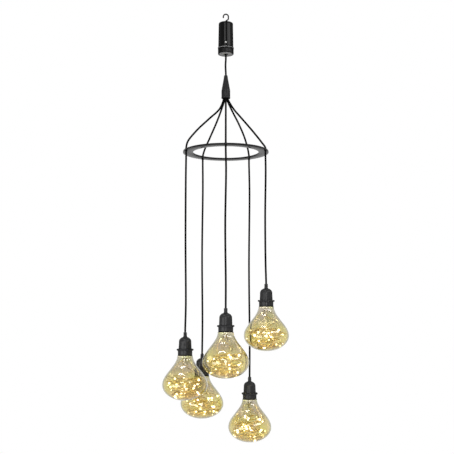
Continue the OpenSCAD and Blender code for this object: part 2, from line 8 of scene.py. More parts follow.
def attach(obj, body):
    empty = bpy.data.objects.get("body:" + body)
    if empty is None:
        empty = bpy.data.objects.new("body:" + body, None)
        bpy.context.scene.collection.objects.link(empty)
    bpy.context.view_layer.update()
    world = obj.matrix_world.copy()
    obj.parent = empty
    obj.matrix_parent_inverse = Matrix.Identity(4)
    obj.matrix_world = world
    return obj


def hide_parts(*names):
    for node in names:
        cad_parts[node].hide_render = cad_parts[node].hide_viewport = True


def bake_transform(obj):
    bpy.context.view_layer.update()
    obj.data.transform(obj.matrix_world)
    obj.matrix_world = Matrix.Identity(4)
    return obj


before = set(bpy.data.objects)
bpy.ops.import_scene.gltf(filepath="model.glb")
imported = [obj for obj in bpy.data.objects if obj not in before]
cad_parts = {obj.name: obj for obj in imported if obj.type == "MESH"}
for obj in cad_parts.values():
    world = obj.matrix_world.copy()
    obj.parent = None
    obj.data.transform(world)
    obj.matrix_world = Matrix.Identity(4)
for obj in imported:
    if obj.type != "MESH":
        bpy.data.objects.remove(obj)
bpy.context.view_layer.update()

# Sizes are in millimetres, as in the part's source, and every mesh is scaled to metres when it is
# made. The hook's wire (3 wide) and the cables (4.4 wide) are drawn a little fuller than they are,
# because lines this thin come out fainter than in the photograph.
MM = 0.001
UP = Vector((0, 0, 1))
LAMPS = (1, 2, 3, 4, 5)
LAMP_AZIMUTHS = (72, 0, -72, -144, 144)

# Hook and case
HOOK_WIRE_R, HOOK_HOLE_R = 1.7, 1.8
CASE_TOP_Z, CASE_FOOT_Z = -22, -99
CASE_BASE_R, CASE_BORE_R = 19.4, 16.3
BAND_TOP_Z, BAND_FOOT_Z, BAND_R = -87.5, -90.5, 20.6
NECK_R, THREAD_TOP_Z, THREAD_STEP = 18.2, -93.1, 0.55
BUTTON_Z, BUTTON_R, BUTTON_FACE = -78.5, 2.5, 18.2
BUTTON_HOLE_R, BUTTON_RECESS_R = 2.6, 4.5
CAP_R, CAP_TOP_Z, CAP_FOOT_Z = 20.1, -90.6, -105
GLAND_FOOT_Z = -108
CELL_PITCH = 14.9

# Splitter, ring and cables, with what a cable's end has inside a boot or the splitter's top, inside
# the splitter's plug and inside a grommet
SPLITTER_TOP_Z, SPLITTER_FOOT_Z, SPLITTER_R = -161, -221, 11.3
RING_TOP_Z, RING_FOOT_Z, RING_OUT_R, RING_IN_R = -358.6, -362.4, 108.5, 83.5
GROMMET_FOOT_Z = -363.6
HOLE_CIRCLE_R, RING_HOLE_R, PLUG_CIRCLE_R = 104, 2.95, 5.8
CABLE_R = 2.4
BOOT_GRIP, PLUG_GRIP, GROMMET_GRIP = 7, 5.6, 1.6

# Lamps: depths below the top of the boot, then the globe, whose depths start at its rim
BOOT_TOPS = {i: -694.4 - 59 * (i - 1) for i in LAMPS}
SHOULDER, FLANGE, SKIRT, RIM, SPIGOT = 22, 39.5, 43.7, 55.7, 58.7
GLOBE_NECK_R, GLOBE_R, GLOBE_BELLY, GLOBE_H, GLOBE_WALL = 18.8, 55, 70, 107.5, 1.2
PLUG_FOOT_Z = -3.1
LIGHT_STEP = 1.2

# Heights between which a cable bends when the joint at its top moves
SWAY_BEND = (-107, -121)
SWING_BEND = (RING_FOOT_Z, -376)

# Routes of the cables: share of the drop with share of the way out, and share of the way down
# with the sideways wander in millimetres
LEG_ROUTES = {
    1: ((0.20, 0.15), (0.40, 0.37), (0.65, 0.65), (0.88, 0.89)),
    2: ((0.20, 0.15), (0.40, 0.38), (0.65, 0.68), (0.88, 0.93)),
    3: ((0.20, 0.11), (0.40, 0.38), (0.65, 0.72), (0.88, 0.96)),
    4: ((0.20, 0.16), (0.40, 0.36), (0.65, 0.65), (0.88, 0.92)),
    5: ((0.20, 0.24), (0.40, 0.52), (0.65, 0.80), (0.88, 0.96)),
}
DROP_ROUTES = {
    1: ((0.15, 0.4), (0.50, -1.5), (0.85, -1.0)),
    2: ((0.15, 0.8), (0.50, -1.2), (0.85, 0.2)),
    3: ((0.15, -0.5), (0.50, -0.4), (0.85, 1.2)),
    4: ((0.15, 0.5), (0.50, -1.0), (0.85, 0.6)),
    5: ((0.15, 1.2), (0.50, -0.8), (0.85, 0.5)),
}


def radial(azimuth, r, z):
    """A point at a radius and height; azimuth 0 faces the viewer."""
    a = math.radians(azimuth)
    return Vector((r * math.sin(a), -r * math.cos(a), z))


def hole_place(i):
    """The shift to the ring's hole for a lamp's cable, its heights left as they are."""
    return Matrix.Translation(radial(LAMP_AZIMUTHS[i - 1], HOLE_CIRCLE_R, 0))


def lamp_place(i):
    """The turn and shift that set a lamp, drawn downwards from its boot, in its place."""
    a = LAMP_AZIMUTHS[i - 1]
    spot = radial(a, HOLE_CIRCLE_R, BOOT_TOPS[i])
    return Matrix.Translation(spot) @ Matrix.Rotation(math.radians(a), 4, "Z")


def in_scene(name, data):
    """A new object in the scene."""
    piece = bpy.data.objects.new(name, data)
    bpy.context.scene.collection.objects.link(piece)
    return piece


def place_camera():
    """A camera below the middle of the lamp that looks slightly up, as in the photograph."""
    sensor, focal_pixels, photo_pixels, tilt = 36, 772, 454, 5.74
    data = bpy.data.cameras.new("camera")
    data.sensor_width = sensor
    data.lens = sensor * focal_pixels / photo_pixels
    data.clip_end = 50
    camera = in_scene("camera", data)
    camera.location = (0.003, -1.93, -0.745)
    camera.rotation_euler = (math.radians(90 + tilt), 0, 0)
    bpy.context.scene.camera = camera


# Shapes

def finished(name, bm, place=None, smooth_angle=35):
    """Makes a bmesh that is drawn in millimetres an object in metres, smooth up to an angle."""
    bm.transform(Matrix.Scale(MM, 4) @ (place or Matrix.Identity(4)))
    mesh = bpy.data.meshes.new(name)
    bm.to_mesh(mesh)
    bm.free()
    mesh.shade_smooth()
    mesh.set_sharp_from_angle(angle=math.radians(smooth_angle))
    return in_scene(name, mesh)


def round_edges(bm, width, least_angle=28, segments=2):
    """Rounds the edges of a shape that are sharper than an angle."""
    least = math.radians(least_angle)
    sharp = [e for e in bm.edges if e.is_manifold and e.calc_face_angle(0) > least]
    if width and sharp:
        bmesh.ops.bevel(bm, geom=sharp, offset=width, offset_type="OFFSET", segments=segments,
                        profile=0.5, affect="EDGES", clamp_overlap=True, material=-1)


def with_holds(profile, closed, hold=0.6, least_run=4):
    """Adds a point near both ends of each long straight run, so that it is shaded straight."""
    ends = profile[1:] + (profile[:1] if closed else [])
    line = []
    for (r1, z1), (r2, z2) in zip(profile, ends):
        line.append((r1, z1))
        run = math.hypot(r2 - r1, z2 - z1)
        if run > least_run:
            share = hold / run
            line += [(r1 + (r2 - r1) * t, z1 + (z2 - z1) * t) for t in (share, 1 - share)]
    return line if closed else line + [profile[-1]]


def turned(profile, steps=96, rounding=0.25, closed=True):
    """Revolves a profile of (radius, height) round Z. A closed one is a ring of material."""
    bm = bmesh.new()
    chain = [bm.verts.new((r, 0, z)) for r, z in with_holds(profile, closed)]
    for a, b in zip(chain, chain[1:]):
        bm.edges.new((a, b))
    if closed:
        bm.edges.new((chain[-1], chain[0]))
    bmesh.ops.spin(bm, geom=bm.verts[:] + bm.edges[:], cent=(0, 0, 0), axis=(0, 0, 1),
                   angle=math.tau, steps=steps, use_merge=True, use_duplicate=False)
    bmesh.ops.remove_doubles(bm, verts=bm.verts[:], dist=0.0005)
    bmesh.ops.recalc_face_normals(bm, faces=bm.faces[:])
    round_edges(bm, rounding)
    return bm


def unwrapped(bm, top, foot):
    """A UV map with the turn round Z as U and the way down from top to foot as V."""
    uv = bm.loops.layers.uv.new("around")
    for face in bm.faces:
        turns = [math.atan2(l.vert.co.y, l.vert.co.x) / math.tau % 1 for l in face.loops]
        wraps = max(turns) - min(turns) > 0.5
        for loop, turn in zip(face.loops, turns):
            u = turn + 1 if wraps and turn < 0.5 else turn
            loop[uv].uv = (u, (top - loop.vert.co.z) / (top - foot))
    return bm


def smooth_route(points, spacing):
    """Evenly spaced points along one smooth curve (centripetal) through a route's points."""
    per_span = 24
    points = [Vector(p) for p in points]
    ends = [2 * points[0] - points[1]] + points + [2 * points[-1] - points[-2]]
    dense = []
    for a, b, c, d in zip(ends, ends[1:], ends[2:], ends[3:]):
        knots = [0]
        for p, q in ((a, b), (b, c), (c, d)):
            knots.append(knots[-1] + max((q - p).length, 1e-6) ** 0.5)
        t0, t1, t2, t3 = knots
        for k in range(per_span):
            t = t1 + (t2 - t1) * k / per_span
            ab = a.lerp(b, (t - t0) / (t1 - t0))
            bc = b.lerp(c, (t - t1) / (t2 - t1))
            cd = c.lerp(d, (t - t2) / (t3 - t2))
            abc = ab.lerp(bc, (t - t0) / (t2 - t0))
            bcd = bc.lerp(cd, (t - t1) / (t3 - t1))
            dense.append(abc.lerp(bcd, (t - t1) / (t2 - t1)))
    dense.append(points[-1])
    return evenly(dense, spacing)


def evenly(dense, spacing):
    """The same line with its points one spacing apart, as nearly as the length allows."""
    reach = [0]
    for p, q in zip(dense, dense[1:]):
        reach.append(reach[-1] + (q - p).length)
    count = max(2, round(reach[-1] / spacing))
    line, k = [], 0
    for n in range(count + 1):
        at = reach[-1] * n / count
        while k < len(dense) - 2 and reach[k + 1] < at:
            k += 1
        share = (at - reach[k]) / max(reach[k + 1] - reach[k], 1e-9)
        line.append(dense[k].lerp(dense[k + 1], share))
    return line


def plain_mesh(piece):
    """The mesh that a curve, or a piece with modifiers, comes to."""
    bpy.context.view_layer.update()
    graph = bpy.context.evaluated_depsgraph_get()
    return bpy.data.meshes.new_from_object(piece.evaluated_get(graph))


def wire_mesh(name, lines, radius, rings=3):
    """A mesh of round wires along lines of points, each one open spline, in millimetres."""
    data = bpy.data.curves.new(name, "CURVE")
    data.dimensions = "3D"
    data.bevel_depth = radius * MM
    data.bevel_resolution = rings
    data.use_fill_caps = True
    for line in lines:
        spline = data.splines.new("POLY")
        spline.points.add(len(line) - 1)
        spline.points.foreach_set("co", [c for p in line for c in (*(p * MM), 1)])
    curve = in_scene(name + "_line", data)
    mesh = plain_mesh(curve)
    bpy.data.objects.remove(curve)
    bpy.data.curves.remove(data)
    mesh.name = name
    mesh.materials.clear()
    bm = bmesh.new()
    bm.from_mesh(mesh)
    bmesh.ops.remove_doubles(bm, verts=bm.verts[:], dist=1e-6)
    bm.to_mesh(mesh)
    bm.free()
    mesh.shade_smooth()
    mesh.set_sharp_from_angle(angle=math.radians(50))
    return in_scene(name, mesh)


def cut_from(piece, *cutters):
    """Cuts closed shapes out of a piece and leaves it a plain mesh."""
    for cutter in cutters:
        modifier = piece.modifiers.new("cut", "BOOLEAN")
        modifier.operation = "DIFFERENCE"
        modifier.solver = "EXACT"
        modifier.object = cutter
    mesh = plain_mesh(piece)
    bm = bmesh.new()
    bm.from_mesh(mesh)
    bmesh.ops.remove_doubles(bm, verts=bm.verts[:], dist=2e-6)
    bmesh.ops.dissolve_degenerate(bm, edges=bm.edges[:], dist=2e-6)
    bm.to_mesh(mesh)
    bm.free()
    piece.modifiers.clear()
    piece.data = mesh
    mesh.set_sharp_from_angle(angle=math.radians(35))
    for cutter in cutters:
        bpy.data.objects.remove(cutter)


def rod(name, radius, low, high, place=None, sides=48):
    """A plain cylinder along Z, for cutting."""
    outline = [(0, low), (radius, low), (radius, high), (0, high)]
    return finished(name, turned(outline, sides, 0, False), place)


def joined(name, *pieces):
    """Several meshes as one piece."""
    bm = bmesh.new()
    for piece in pieces:
        bm.from_mesh(piece.data)
        bpy.data.objects.remove(piece)
    mesh = bpy.data.meshes.new(name)
    bm.to_mesh(mesh)
    bm.free()
    return in_scene(name, mesh)


def dress(piece, body, slot, material, *nodes):
    """Gives a piece its finish, its body and the CAD nodes that it stands for."""
    piece.data.materials.clear()
    piece.data.materials.append(material)
    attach(piece, body)
    if nodes:
        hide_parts(*nodes)
    return piece


# Finishes

def link(tree, start, end):
    tree.links.new(start, end)


def give(tree, socket, value):
    """Links a value that comes from another node, or sets a plain number or colour."""
    if isinstance(value, bpy.types.NodeSocket):
        link(tree, value, socket)
    else:
        socket.default_value = (*value, 1) if isinstance(value, tuple) else value


def own_coords(tree):
    return tree.nodes.new("ShaderNodeTexCoord").outputs["Object"]


def noise(tree, coords, scale, detail=3, stretch=None):
    """A noise texture on the coordinates, drawn out along an axis by stretch."""
    node = tree.nodes.new("ShaderNodeTexNoise")
    node.inputs["Detail"].default_value = detail
    give(tree, node.inputs["Scale"], scale)
    if stretch:
        mapping = tree.nodes.new("ShaderNodeMapping")
        mapping.inputs["Scale"].default_value = stretch
        link(tree, coords, mapping.inputs["Vector"])
        coords = mapping.outputs["Vector"]
    link(tree, coords, node.inputs["Vector"])
    return node.outputs["Fac"]


def calculated(tree, operation, *values):
    node = tree.nodes.new("ShaderNodeMath")
    node.operation = operation
    for socket, value in zip(node.inputs, values):
        give(tree, socket, value)
    return node.outputs[0]


def swing(tree, texture, size):
    """A texture's value from 0 to 1 as a swing to both sides of nothing, times a size."""
    return calculated(tree, "MULTIPLY", calculated(tree, "SUBTRACT", texture, 0.5), size)


def mixed(tree, share, low, high, kind="MIX"):
    """Two colours mixed by a share."""
    node = tree.nodes.new("ShaderNodeMix")
    node.data_type = "RGBA"
    node.blend_type = kind
    for socket, value in zip((node.inputs[0], node.inputs[6], node.inputs[7]), (share, low, high)):
        give(tree, socket, value)
    return node.outputs[2]


def spread(tree, value, low, high):
    """A value as a share from 0 at low to 1 at high."""
    node = tree.nodes.new("ShaderNodeMapRange")
    node.interpolation_type = "SMOOTHSTEP"
    node.inputs["From Min"].default_value = low
    node.inputs["From Max"].default_value = high
    link(tree, value, node.inputs["Value"])
    return node.outputs[0]


def facing_away(tree, blend):
    """0 where a surface faces the eye, rising to 1 where it is seen edge on."""
    weight = tree.nodes.new("ShaderNodeLayerWeight")
    weight.inputs["Blend"].default_value = blend
    return weight.outputs["Facing"]


def seen_edge_on(tree, low, high):
    """0 up to one share of facing away and 1 from another on, for gloss and glass, and for painted
    shade along outlines.
    """
    return spread(tree, facing_away(tree, 0.5), low, high)


def ramp(tree, share, *stops):
    """A colour that runs through stops of (place, colour)."""
    node = tree.nodes.new("ShaderNodeValToRGB")
    elements = node.color_ramp.elements
    while len(elements) < len(stops):
        elements.new(0.5)
    for element, (place, color) in zip(elements, stops):
        element.position = place
        element.color = (*color, 1)
    link(tree, share, node.inputs["Fac"])
    return node.outputs["Color"]


def new_group(name, inputs, outputs):
    group = bpy.data.node_groups.new(name, "ShaderNodeTree")
    for direction, sockets in (("INPUT", inputs), ("OUTPUT", outputs)):
        for socket, kind in sockets:
            group.interface.new_socket(socket, in_out=direction, socket_type="NodeSocket" + kind)
    return group, group.nodes.new("NodeGroupInput"), group.nodes.new("NodeGroupOutput")


def moulded_skin():
    """Moulded plastic or rubber: slow changes of tone, handled patches and a fine grain."""
    group, given, out = new_group(
        "moulded_skin",
        [("Color", "Color"), ("Tone", "Float"), ("Roughness", "Float"), ("Patches", "Float"),
         ("Grain", "Float")],
        [("Color", "Color"), ("Roughness", "Float"), ("Height", "Float")])
    coords = own_coords(group)
    cloud = noise(group, coords, 60, 2)
    grain = noise(group, coords, given.outputs["Grain"], 4)
    shift = swing(group, cloud, given.outputs["Tone"])
    speck = swing(group, grain, 0.25)
    tone = calculated(group, "ADD", 1, calculated(group, "ADD", shift, speck))
    brightness = group.nodes.new("ShaderNodeCombineColor")
    for socket in brightness.inputs:
        link(group, tone, socket)
    color = mixed(group, 1.0, given.outputs["Color"], brightness.outputs[0], "MULTIPLY")
    link(group, color, out.inputs["Color"])
    patches = swing(group, cloud, given.outputs["Patches"])
    roughness = calculated(group, "ADD", given.outputs["Roughness"], patches)
    link(group, roughness, out.inputs["Roughness"])
    link(group, grain, out.inputs["Height"])
    return group


def drawn_metal():
    """Drawn or plated metal: fine streaks along one axis over a slow change of tone."""
    group, given, out = new_group(
        "drawn_metal",
        [("Color", "Color"), ("Dull", "Color"), ("Roughness", "Float"), ("Grain", "Float")],
        [("Color", "Color"), ("Roughness", "Float"), ("Height", "Float")])
    coords = own_coords(group)
    streaks = noise(group, coords, given.outputs["Grain"], 3, (1, 1, 0.08))
    worn = calculated(group, "MULTIPLY", noise(group, coords, 140, 2), streaks)
    color = mixed(group, worn, given.outputs["Color"], given.outputs["Dull"])
    link(group, color, out.inputs["Color"])
    uneven = swing(group, streaks, 0.3)
    roughness = calculated(group, "ADD", given.outputs["Roughness"], uneven)
    link(group, roughness, out.inputs["Roughness"])
    link(group, streaks, out.inputs["Height"])
    return group


def new_material(name, **sockets):
    """A material with one Principled shader whose plain values are set on its own sockets."""
    material = bpy.data.materials.new(name)
    material.use_nodes = True
    shader = material.node_tree.nodes["Principled BSDF"]
    for socket, value in sockets.items():
        give(material.node_tree, shader.inputs[socket.replace("_", " ")], value)
    return material, material.node_tree, shader


def with_height(tree, shader, height, strength, distance=0.0002):
    bump = tree.nodes.new("ShaderNodeBump")
    bump.inputs["Strength"].default_value = strength
    bump.inputs["Distance"].default_value = distance
    link(tree, height, bump.inputs["Height"])
    link(tree, bump.outputs["Normal"], shader.inputs["Normal"])


def mixed_surface(tree, share, shader, other):
    """Sets the surface to one shader and, by a share, another."""
    mix = tree.nodes.new("ShaderNodeMixShader")
    for socket, value in zip(mix.inputs, (share, shader.outputs[0], other.outputs[0])):
        link(tree, value, socket)
    link(tree, mix.outputs[0], tree.nodes["Material Output"].inputs["Surface"])


def grouped(tree, group, **values):
    node = tree.nodes.new("ShaderNodeGroup")
    node.node_tree = group
    for socket, value in values.items():
        give(tree, node.inputs[socket], value)
    return node.outputs


def plastic(name, color, roughness, specular=0.15, tone=0.25, patches=0.12, grain=1400, bump=0.25,
            edge=1.0, painted_edge_shade=0.3):
    """Plastic or rubber. Where seen edge on, the roughness rises towards edge, and the colour falls
    to a share of itself: a painted shade along the outline.
    """
    material, tree, shader = new_material(name, Specular_IOR_Level=specular)
    skin = grouped(tree, SKIN, Color=color, Tone=tone, Roughness=roughness, Patches=patches,
                   Grain=grain)
    turned_away = seen_edge_on(tree, 0.3, 0.75)
    # Painted shade: the colour darkens towards the outline, where the surface is seen edge on.
    shade = mixed(tree, turned_away, skin["Color"], tuple(painted_edge_shade * c for c in color))
    link(tree, shade, shader.inputs["Base Color"])
    room = calculated(tree, "SUBTRACT", edge, skin["Roughness"])
    matter = calculated(tree, "MULTIPLY", turned_away, room)
    link(tree, calculated(tree, "ADD", skin["Roughness"], matter), shader.inputs["Roughness"])
    with_height(tree, shader, skin["Height"], bump)
    return material


def metal(name, color, dull, roughness, grain=900, bump=0.15):
    material, tree, shader = new_material(name, Metallic=1.0)
    drawn = grouped(tree, DRAWN, Color=color, Dull=dull, Roughness=roughness, Grain=grain)
    link(tree, drawn["Color"], shader.inputs["Base Color"])
    link(tree, drawn["Roughness"], shader.inputs["Roughness"])
    with_height(tree, shader, drawn["Height"], bump)
    return material


def globe_glass():
    """Thin tinted glass, greyer at the neck and golden in the belly, with a painted olive shade
    where seen edge on.
    """
    material, tree, shader = new_material("globe_glass", Transmission_Weight=1.0, Roughness=0.015,
                                          IOR=1.46)
    around = tree.nodes.new("ShaderNodeUVMap")
    around.uv_map = "around"
    way_down = tree.nodes.new("ShaderNodeSeparateXYZ")
    link(tree, around.outputs[0], way_down.inputs[0])
    tint = ramp(tree, way_down.outputs["Y"],
                (0.0, (0.705, 0.69, 0.57)), (0.3, (0.655, 0.61, 0.445)),
                (0.5, (0.785, 0.725, 0.45)), (0.7, (0.82, 0.755, 0.455)),
                (1.0, (0.77, 0.67, 0.34)))
    coords = own_coords(tree)
    clouds = spread(tree, noise(tree, coords, 38, 2), 0.4, 0.6)
    cloudy = mixed(tree, clouds, (0.98, 1.0, 0.90), (1.0, 0.97, 1.08))
    tint = mixed(tree, 1.0, tint, cloudy, "MULTIPLY")
    # Painted shade: the tint darkens to olive towards the outline, where the glass is seen edge on.
    tint = mixed(tree, seen_edge_on(tree, 0.58, 0.84), tint, (0.27, 0.26, 0.17))
    link(tree, tint, shader.inputs["Base Color"])
    with_height(tree, shader, noise(tree, coords, 45, 2), 0.015, 0.0006)
    clear = tree.nodes.new("ShaderNodeBsdfTransparent")
    clear.inputs["Color"].default_value = (0.93, 0.90, 0.78, 1)
    path = tree.nodes.new("ShaderNodeLightPath")
    mixed_surface(tree, path.outputs["Is Shadow Ray"], shader, clear)
    return material


def light_drop():
    """A drop of clear resin over a lit chip: white at its middle and gold at its rim."""
    material, tree, shader = new_material("light_drop", Base_Color=(0.95, 0.86, 0.62),
                                          Roughness=0.15, Coat_Weight=0.6, Emission_Strength=6.0)
    glow = ramp(tree, facing_away(tree, 0.35), (0.0, (1.0, 0.94, 0.88)),
                (0.6, (0.95, 0.84, 0.68)), (1.0, (0.66, 0.55, 0.36)))
    link(tree, glow, shader.inputs["Emission Color"])
    return material


def cell_wrap():
    """A printed sleeve in two plain tones, slightly mottled."""
    material, tree, shader = new_material("cell_wrap", Roughness=0.4, Specular_IOR_Level=0.3)
    coords = own_coords(tree)
    height = tree.nodes.new("ShaderNodeSeparateXYZ")
    link(tree, coords, height.inputs[0])
    band_foot = -0.046
    band = calculated(tree, "GREATER_THAN", height.outputs["Z"], band_foot)
    tones = mixed(tree, band, (0.02, 0.03, 0.055), (0.36, 0.28, 0.14))
    mottled = calculated(tree, "MULTIPLY", noise(tree, coords, 160, 2), 0.06)
    link(tree, mixed(tree, mottled, tones, (0.75, 0.75, 0.75)), shader.inputs["Base Color"])
    return material


def circuit_board():
    """Green lacquer over a pattern of tracks."""
    material, tree, shader = new_material("board_green", Roughness=0.35)
    tracks = tree.nodes.new("ShaderNodeTexBrick")
    for socket, value in (("Scale", 160), ("Mortar Size", 0.06), ("Color1", (0.012, 0.11, 0.045)),
                          ("Color2", (0.016, 0.14, 0.055)), ("Mortar", (0.05, 0.26, 0.10)),
                          ("Vector", own_coords(tree))):
        give(tree, tracks.inputs[socket], value)
    link(tree, tracks.outputs["Color"], shader.inputs["Base Color"])
    with_height(tree, shader, tracks.outputs["Fac"], 0.3)
    return material


SKIN = moulded_skin()
DRAWN = drawn_metal()
FINISHES = {
    "hook_steel": plastic("hook_steel", (0.006, 0.006, 0.006), 0.35, 0.05, tone=0.5, grain=900,
                          bump=0.1),
    "zinc_steel": metal("zinc_steel", (0.62, 0.61, 0.58), (0.36, 0.36, 0.35), 0.32),
    "case_black": plastic("case_black", (0.002, 0.002, 0.0021), 0.12, 0.055, tone=0.3,
                          patches=0.04, bump=0.02),
    # Grey for the band's edge ring and the base plate: partly real grey plastic, partly a painted
    # highlight.
    "grey_and_painted_highlight": plastic("grey_and_painted_highlight", (0.2, 0.2, 0.2), 0.4, 0.3, bump=0.1, painted_edge_shade=1.0),
    "seal_rubber": plastic("seal_rubber", (0.004, 0.004, 0.004), 0.8, 0.04),
    "button_white": plastic("button_white", (0.27, 0.27, 0.26), 0.4, 0.3, tone=0.05, painted_edge_shade=1.0),
    "cage_black": plastic("cage_black", (0.022, 0.022, 0.024), 0.5, 0.3),
    "cell_wrap": cell_wrap(),
    "contact_brass": metal("contact_brass", (0.78, 0.66, 0.38), (0.50, 0.40, 0.22), 0.3),
    "board_green": circuit_board(),
    "cable_black": plastic("cable_black", (0.003, 0.003, 0.003), 0.6, 0.01, tone=0.1,
                           patches=0.05, grain=2200, bump=0.05),
    "splitter_black": plastic("splitter_black", (0.010, 0.010, 0.0105), 0.3, 0.1, bump=0.12),
    "ring_black": plastic("ring_black", (0.006, 0.006, 0.0062), 0.22, 0.05, bump=0.08, edge=0.22),
    "holder_black": plastic("holder_black", (0.0155, 0.0155, 0.016), 0.26, 0.13, bump=0.12),
    # Cream for the wire plugs, and for the neck liner, where it is partly a painted highlight at
    # the glass rim.
    "plug_cream": plastic("plug_cream", (0.55, 0.56, 0.50), 0.5, 0.4, tone=0.1, painted_edge_shade=1.0),
    "globe_glass": globe_glass(),
    "light_copper": metal("light_copper", (0.80, 0.65, 0.34), (0.20, 0.15, 0.06), 0.3, 120),
    "feed_silver": metal("feed_silver", (1.0, 0.97, 0.88), (0.75, 0.72, 0.60), 0.2, 160),
}
LIGHT_DROP = light_drop()


# Cables

def lay_cable(name, points, node, body=None, across=None):
    """One cable through its points. A cable given across, its two bodies and the heights where it
    bends, is left unattached; these bodies and heights are not used.
    """
    line = smooth_route(points, 1.5)
    piece = wire_mesh(name, [line], CABLE_R, 4)
    piece.data.materials.append(FINISHES["cable_black"])
    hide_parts(node)
    if across:
        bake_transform(piece)
    else:
        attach(piece, body)


def lay_main_cable():
    top = GLAND_FOOT_Z - 0.6
    middle = (top + SPLITTER_TOP_Z) / 2
    route = [(0, 0, -104.5), (0, 0, top - 8), (-0.8, 0, middle), (0, 0, SPLITTER_TOP_Z + 5),
             (0, 0, SPLITTER_TOP_Z - BOOT_GRIP)]
    lay_cable("cable_main", route, "main_cable",
              across=("base", "pendant", *SWAY_BEND))


def lay_leg(i):
    """The cable from the splitter out to the ring."""
    start, end = SPLITTER_FOOT_Z - 2, RING_TOP_Z + 3.2
    way_out = HOLE_CIRCLE_R - PLUG_CIRCLE_R
    stops = [(PLUG_CIRCLE_R, SPLITTER_FOOT_Z + PLUG_GRIP), (PLUG_CIRCLE_R, start)]
    stops += [(PLUG_CIRCLE_R + out * way_out, start + down * (end - start))
              for down, out in LEG_ROUTES[i]]
    stops += [(HOLE_CIRCLE_R, end), (HOLE_CIRCLE_R, GROMMET_FOOT_Z + GROMMET_GRIP)]
    a = LAMP_AZIMUTHS[i - 1]
    lay_cable(f"cable_leg_{i}", [radial(a, r, z) for r, z in stops],
              f"leg_cable_{i}", body="pendant")


def lay_drop(i):
    """The cable from the ring down to a lamp."""
    top, foot = GROMMET_FOOT_Z - 0.6, BOOT_TOPS[i]
    stops = [(0, GROMMET_FOOT_Z + GROMMET_GRIP), (0, top - 10)]
    stops += [(aside, top + down * (foot - top)) for down, aside in DROP_ROUTES[i]]
    stops += [(0, foot + 8), (0, foot - BOOT_GRIP)]
    a = LAMP_AZIMUTHS[i - 1]
    hole = radial(a, HOLE_CIRCLE_R, 0)
    lay_cable(f"cable_drop_{i}", [hole + Vector((x, 0, z)) for x, z in stops],
              f"drop_cable_{i}",
              across=("pendant", f"lamp_{i}", *SWING_BEND))


def lay_cables():
    lay_main_cable()
    for i in LAMPS:
        lay_leg(i)
        lay_drop(i)


# Hook and battery case

def quarter(steps, start=0):
    """The sine and cosine of even steps from an angle up to 90 degrees."""
    angles = [math.radians(t) for t in range(start, 91, steps)]
    return [(math.sin(t), math.cos(t)) for t in angles]


def arc(x, z, r, start, end, steps):
    """Points on an arc in the XZ plane, its angles in degrees."""
    turns = [math.radians(start + (end - start) * k / steps) for k in range(steps + 1)]
    return [Vector((x + r * math.cos(t), 0, z + r * math.sin(t))) for t in turns]


def make_hook():
    """The open loop, the bend back to the middle and the shank, with a collar over the case."""
    bend = [Vector((-6.5, 0, -8.3))] + arc(0, -5, 6.5, 180, 0, 40)
    bend += arc(3, -10.49, 3.5, 0, -60, 12) + arc(3, -18, 3, 120, 180, 12)
    bend.append(Vector((0, 0, -28.5)))
    wire = wire_mesh("hook_wire", [evenly(bend, 0.6)], HOOK_WIRE_R, 8)
    bm = bmesh.new()
    bm.from_mesh(wire.data)
    round_edges(bm, 0.7 * MM, 69, 4)
    bm.to_mesh(wire.data)
    bm.free()
    collar = [(1.2, -21.8), (2.3, -21.8), (2.3, -18.6), (1.9, -18), (1.2, -18)]
    shoulder = finished("hook_collar", turned(collar, 48, 0.2))
    dress(joined("hook_shape", wire, shoulder), "hook", "hook_steel", FINISHES["hook_steel"],
          "hanging_hook")


